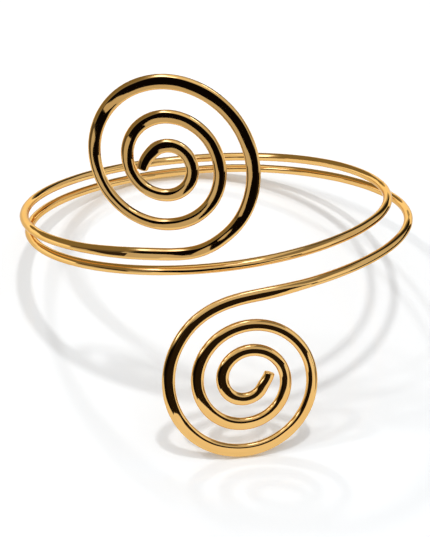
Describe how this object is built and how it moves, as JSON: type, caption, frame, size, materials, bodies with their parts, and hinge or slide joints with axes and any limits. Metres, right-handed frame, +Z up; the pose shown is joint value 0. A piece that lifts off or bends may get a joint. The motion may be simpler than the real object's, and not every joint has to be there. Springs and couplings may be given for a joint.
{
  "type": "upper arm cuff",
  "caption": "Springy upper arm cuff of gold-coloured wire wound round the arm, with flat open spirals standing above and hanging below the band at the front.",
  "frame": {"origin": "on the floor, under the middle of the cuff's box as it rests", "axes": "+X to the right of the picture, +Y to the back, +Z up; the band's opening points up and back, because its front rests lifted on the lower spiral"},
  "size_m": [0.0882, 0.0978, 0.073],
  "materials": {
    "polished_gold": "mirror polished, gold plated"
  },
  "bodies": {
    "root": {"cuff_wire": "polished_gold"}
  },
  "joints": []
}
